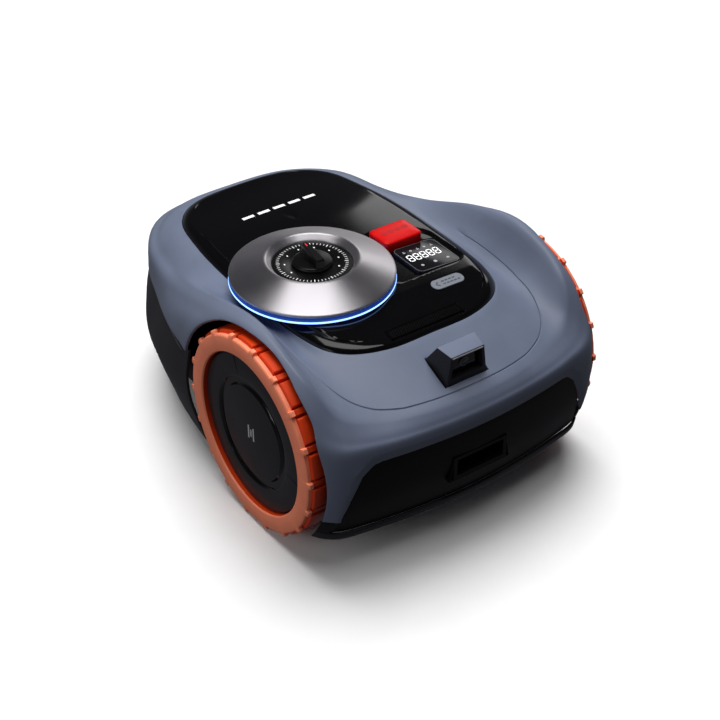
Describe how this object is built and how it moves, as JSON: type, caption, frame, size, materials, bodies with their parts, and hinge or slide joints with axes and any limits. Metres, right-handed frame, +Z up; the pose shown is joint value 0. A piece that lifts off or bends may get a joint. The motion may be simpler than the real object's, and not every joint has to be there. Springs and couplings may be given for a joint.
{
  "type": "robotic lawn mower",
  "caption": "Robotic lawn mower with lugged drive wheels, rear castors, a turning height knob, stop button, display, front camera and a lowering deck of pivoting blades.",
  "frame": {"origin": "on the ground, under the middle of the machine's length and width", "axes": "+Z up, front faces -Y, +X to the machine's own left"},
  "size_m": [0.377, 0.5445, 0.2485],
  "materials": {
    "shell_grey": "satin moulded plastic, blue-grey",
    "charcoal": "fine-grained moulded plastic, charcoal",
    "panel_black": "fine-grained moulded plastic, black",
    "gloss_black": "high-gloss moulded plastic, black",
    "satin_silver": "moulded plastic with a satin silver metallic finish",
    "light": "translucent light guide, cool white-blue",
    "tread_orange": "solid orange rubber with square lugs",
    "stop_red": "satin red plastic",
    "display_black": "dark display glass with white segments",
    "badge_grey": "satin light grey plastic",
    "lens_glass": "dark tinted window",
    "steel": "turned or stamped steel",
    "motor_grey": "cast aluminium housing",
    "board_green": "circuit board",
    "battery_blue": "shrink-wrapped cells",
    "castor_rubber": "black rubber",
    "contact_brass": "spring contacts"
  },
  "bodies": {
    "chassis": {"top_shell": "shell_grey", "chassis_skirt": "charcoal", "front_lip": "charcoal", "camera_housing": "charcoal", "chassis_tub": "charcoal", "battery_door": "charcoal", "wheel_well_left": "charcoal", "wheel_well_right": "charcoal", "cutting_deck": "charcoal", "front_panel": "panel_black", "charge_socket": "panel_black", "dial_plate": "panel_black", "stop_switch": "panel_black", "vent_grille": "panel_black", "camera_lens": "panel_black", "hood_cover": "gloss_black", "dial_disc": "satin_silver", "light_ring": "light", "display_panel": "display_black", "badge_plate": "badge_grey", "camera_window": "lens_glass", "stop_spring": "steel", "guide_rod_front": "steel", "guide_rod_rear": "steel", "drive_motor_left": "motor_grey", "drive_motor_right": "motor_grey", "main_board": "board_green", "display_board": "board_green", "battery_pack": "battery_blue", "charge_contact_left": "contact_brass", "charge_contact_right": "contact_brass"},
    "drive_wheel_left": {"tyre_left": "tread_orange", "wheel_rim_left": "charcoal", "hub_cap_left": "charcoal", "wheel_axle_left": "steel"},
    "drive_wheel_right": {"tyre_right": "tread_orange", "wheel_rim_right": "charcoal", "hub_cap_right": "charcoal", "wheel_axle_right": "steel"},
    "swivel_left": {"castor_fork_left": "charcoal"},
    "swivel_right": {"castor_fork_right": "charcoal"},
    "roller_left": {"castor_wheel_left": "castor_rubber", "castor_axle_left": "steel"},
    "roller_right": {"castor_wheel_right": "castor_rubber", "castor_axle_right": "steel"},
    "knob": {"height_knob": "panel_black", "lift_screw": "steel"},
    "carriage": {"cutter_carriage": "charcoal", "cutter_motor": "motor_grey"},
    "cutter": {"cutter_spindle": "steel", "blade_disc": "steel", "blade_screw_1": "steel", "blade_screw_2": "steel", "blade_screw_3": "steel"},
    "swing_blade_1": {"blade_1": "steel"},
    "swing_blade_2": {"blade_2": "steel"},
    "swing_blade_3": {"blade_3": "steel"},
    "skid": {"skid_plate": "charcoal"},
    "stop": {"stop_button": "stop_red"}
  },
  "joints": [
    {"name": "wheel_left_spin", "type": "hinge", "parent": "chassis", "child": "drive_wheel_left", "pos_m": [0.165, -0.1225, 0.113], "axis": [1, 0, 0], "continuous": true},
    {"name": "castor_left_swivel", "type": "hinge", "parent": "chassis", "child": "swivel_left", "pos_m": [0.062, 0.188, 0.056], "axis": [0, 0, 1], "continuous": true},
    {"name": "castor_left_roll", "type": "hinge", "parent": "swivel_left", "child": "roller_left", "pos_m": [0.062, 0.206, 0.026], "axis": [1, 0, 0], "continuous": true},
    {"name": "wheel_right_spin", "type": "hinge", "parent": "chassis", "child": "drive_wheel_right", "pos_m": [-0.165, -0.1225, 0.113], "axis": [1, 0, 0], "continuous": true},
    {"name": "castor_right_swivel", "type": "hinge", "parent": "chassis", "child": "swivel_right", "pos_m": [-0.062, 0.188, 0.056], "axis": [0, 0, 1], "continuous": true},
    {"name": "castor_right_roll", "type": "hinge", "parent": "swivel_right", "child": "roller_right", "pos_m": [-0.062, 0.206, 0.026], "axis": [1, 0, 0], "continuous": true},
    {"name": "knob_turn", "type": "hinge", "parent": "chassis", "child": "knob", "pos_m": [-0.0555, -0.0485, 0.235], "axis": [0, 0, 1], "range_deg": [-270, 0]},
    {"name": "carriage_lift", "type": "slide", "parent": "chassis", "child": "carriage", "axis": [0, 0, 1], "range_m": [-0.04, 0]},
    {"name": "cutter_spin", "type": "hinge", "parent": "carriage", "child": "cutter", "pos_m": [0, 0.024, 0.0645], "axis": [0, 0, 1], "continuous": true},
    {"name": "blade_1_pivot", "type": "hinge", "parent": "cutter", "child": "swing_blade_1", "pos_m": [-0.00334, 0.09192, 0.0619], "axis": [0, 0, 1], "continuous": true},
    {"name": "blade_2_pivot", "type": "hinge", "parent": "cutter", "child": "swing_blade_2", "pos_m": [-0.05715, -0.01286, 0.0619], "axis": [0, 0, 1], "continuous": true},
    {"name": "blade_3_pivot", "type": "hinge", "parent": "cutter", "child": "swing_blade_3", "pos_m": [0.06049, -0.00706, 0.0619], "axis": [0, 0, 1], "continuous": true},
    {"name": "skid_spin", "type": "hinge", "parent": "cutter", "child": "skid", "pos_m": [0, 0.024, 0.0515], "axis": [0, 0, 1], "continuous": true},
    {"name": "stop_press", "type": "slide", "parent": "chassis", "child": "stop", "axis": [0, 0, 1], "range_m": [-0.0035, 0], "stiffness_N_per_m": 800, "springref_m": 0.001, "deforming": ["stop_spring"]}
  ],
  "couplings": [
    {"joint": "knob_turn", "follows": "carriage_lift", "rad_per_m": 117.81}
  ]
}
